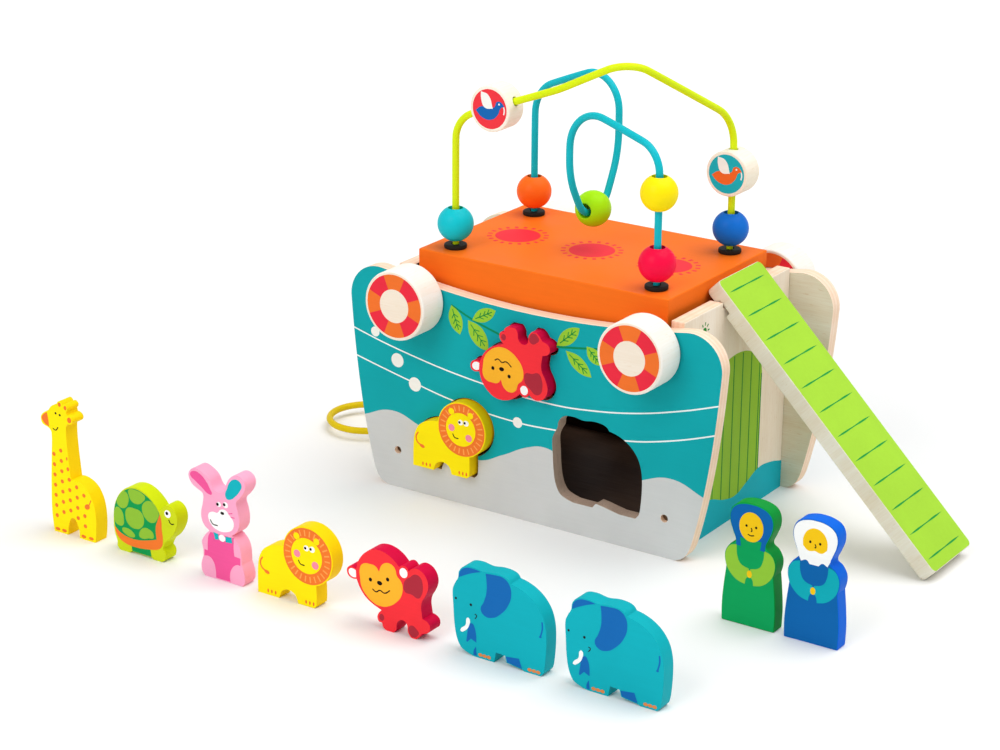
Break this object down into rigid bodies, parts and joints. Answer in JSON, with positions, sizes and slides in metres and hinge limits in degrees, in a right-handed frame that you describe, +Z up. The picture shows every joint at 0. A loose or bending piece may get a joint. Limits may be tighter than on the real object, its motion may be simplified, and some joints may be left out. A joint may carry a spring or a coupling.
{
  "type": "noahs ark toy",
  "caption": "Wooden ark with shape holes, a lift-off lid carrying a bead maze on bent wires, turning life rings, a hook-on ramp, and flat painted animals and people to sort.",
  "frame": {"origin": "middle of the hull's floor board, on the surface it stands on", "axes": "X along the hull towards the ramp, Y from the front panel to the back panel, Z up"},
  "size_m": [0.5247, 0.3785, 0.3142],
  "materials": {
    "teal_panel": "painted plywood, satin",
    "natural_wood": "clear lacquered, satin",
    "orange_wood": "painted, satin",
    "lime_wire": "plastic-coated, gloss",
    "turquoise_wire": "plastic-coated, gloss",
    "yellow_wire": "plastic-coated, gloss",
    "black_rubber": "matte",
    "screw_steel": "dull",
    "turquoise_wood": "painted, satin",
    "amber_wood": "painted, gloss",
    "green_wood": "painted, gloss",
    "yellow_wood": "painted, satin",
    "red_wood": "painted, satin",
    "blue_wood": "painted, satin",
    "lime_wood": "painted, satin",
    "pink_wood": "painted, satin"
  },
  "bodies": {
    "hull": {"front_panel": "teal_panel", "back_panel": "teal_panel", "left_end_wall": "natural_wood", "right_end_wall": "natural_wood", "floor_board": "natural_wood", "lid_rests": "natural_wood", "hull_screws": "screw_steel", "ring_pins": "natural_wood", "bow_loop": "yellow_wire"},
    "lid": {"lid_board": "orange_wood", "wire_arch": "lime_wire", "wire_loop": "turquoise_wire", "wire_grommets": "black_rubber"},
    "ring_front_left_body": {"ring_front_left": "natural_wood"},
    "ring_front_right_body": {"ring_front_right": "natural_wood"},
    "ring_back_left_body": {"ring_back_left": "natural_wood"},
    "ring_back_right_body": {"ring_back_right": "natural_wood"},
    "bead_turquoise_body": {"bead_turquoise": "turquoise_wood"},
    "bead_orange_body": {"bead_orange": "amber_wood"},
    "bead_green_body": {"bead_green": "lime_wood"},
    "bead_yellow_body": {"bead_yellow": "yellow_wood"},
    "bead_red_body": {"bead_red": "red_wood"},
    "bead_blue_body": {"bead_blue": "blue_wood"},
    "bird_disc_red_body": {"bird_disc_red": "natural_wood"},
    "bird_disc_teal_body": {"bird_disc_teal": "natural_wood"},
    "ramp_body": {"ramp": "natural_wood"},
    "lion_in_hull_body": {"lion_in_hull": "yellow_wood"},
    "monkey_in_hull_body": {"monkey_in_hull": "red_wood"},
    "giraffe_body": {"giraffe": "yellow_wood"},
    "turtle_body": {"turtle": "lime_wood"},
    "rabbit_body": {"rabbit": "pink_wood"},
    "lion_body": {"lion": "yellow_wood"},
    "monkey_body": {"monkey": "red_wood"},
    "elephant_left_body": {"elephant_left": "turquoise_wood"},
    "elephant_right_body": {"elephant_right": "turquoise_wood"},
    "woman_body": {"woman": "green_wood"},
    "man_body": {"man": "blue_wood"}
  },
  "joints": [
    {"name": "lid_lift", "type": "slide", "parent": "hull", "child": "lid", "axis": [0, 0, 1], "range_m": [0, 0.06]},
    {"name": "ring_front_left_spin", "type": "hinge", "parent": "hull", "child": "ring_front_left_body", "pos_m": [-0.091, -0.081, 0.141], "axis": [0, 1, 0], "continuous": true},
    {"name": "ring_front_right_spin", "type": "hinge", "parent": "hull", "child": "ring_front_right_body", "pos_m": [0.091, -0.081, 0.141], "axis": [0, 1, 0], "continuous": true},
    {"name": "ring_back_left_spin", "type": "hinge", "parent": "hull", "child": "ring_back_left_body", "pos_m": [-0.091, 0.081, 0.141], "axis": [0, 1, 0], "continuous": true},
    {"name": "ring_back_right_spin", "type": "hinge", "parent": "hull", "child": "ring_back_right_body", "pos_m": [0.091, 0.081, 0.141], "axis": [0, 1, 0], "continuous": true},
    {"name": "bead_turquoise_slide", "type": "slide", "parent": "lid", "child": "bead_turquoise_body", "axis": [0, 0, 1], "range_m": [-0.0025, 0.046]},
    {"name": "bead_orange_slide", "type": "slide", "parent": "lid", "child": "bead_orange_body", "axis": [0, 0, 1], "range_m": [-0.0025, 0.044]},
    {"name": "bead_green_slide", "type": "slide", "parent": "lid", "child": "bead_green_body", "axis": [0, -0.9976, 0.0698], "range_m": [-0.0003, 0.002]},
    {"name": "bead_yellow_slide", "type": "slide", "parent": "lid", "child": "bead_yellow_body", "axis": [0, 0, 1], "range_m": [-0.011, 0]},
    {"name": "bead_red_slide", "type": "slide", "parent": "lid", "child": "bead_red_body", "axis": [0, 0, 1], "range_m": [-0.0025, 0.011]},
    {"name": "bead_blue_slide", "type": "slide", "parent": "lid", "child": "bead_blue_body", "axis": [0, 0, 1], "range_m": [-0.0025, 0.0055]},
    {"name": "bird_disc_red_slide", "type": "slide", "parent": "lid", "child": "bird_disc_red_body", "axis": [0.9352, 0, 0.3541], "range_m": [-0.004, 0.028]},
    {"name": "bird_disc_teal_slide", "type": "slide", "parent": "lid", "child": "bird_disc_teal_body", "axis": [0, 0, 1], "range_m": [-0.0055, 0.004]},
    {"name": "ramp_lift", "type": "slide", "parent": "hull", "child": "ramp_body", "axis": [0.7071, 0, 0.7071], "range_m": [0, 0.06]},
    {"name": "lion_in_hull_push", "type": "slide", "parent": "hull", "child": "lion_in_hull_body", "axis": [0, 1, 0], "range_m": [-0.025, 0.05]},
    {"name": "monkey_in_hull_push", "type": "slide", "parent": "hull", "child": "monkey_in_hull_body", "axis": [0, 1, 0], "range_m": [-0.025, 0.05]},
    {"name": "giraffe_lift", "type": "slide", "parent": "hull", "child": "giraffe_body", "axis": [0, 0, 1], "range_m": [0, 0.06]},
    {"name": "turtle_lift", "type": "slide", "parent": "hull", "child": "turtle_body", "axis": [0, 0, 1], "range_m": [0, 0.06]},
    {"name": "rabbit_lift", "type": "slide", "parent": "hull", "child": "rabbit_body", "axis": [0, 0, 1], "range_m": [0, 0.06]},
    {"name": "lion_lift", "type": "slide", "parent": "hull", "child": "lion_body", "axis": [0, 0, 1], "range_m": [0, 0.06]},
    {"name": "monkey_lift", "type": "slide", "parent": "hull", "child": "monkey_body", "axis": [0, 0, 1], "range_m": [0, 0.06]},
    {"name": "elephant_left_lift", "type": "slide", "parent": "hull", "child": "elephant_left_body", "axis": [0, 0, 1], "range_m": [0, 0.06]},
    {"name": "elephant_right_lift", "type": "slide", "parent": "hull", "child": "elephant_right_body", "axis": [0, 0, 1], "range_m": [0, 0.06]},
    {"name": "woman_lift", "type": "slide", "parent": "hull", "child": "woman_body", "axis": [0, 0, 1], "range_m": [0, 0.06]},
    {"name": "man_lift", "type": "slide", "parent": "hull", "child": "man_body", "axis": [0, 0, 1], "range_m": [0, 0.06]}
  ]
}
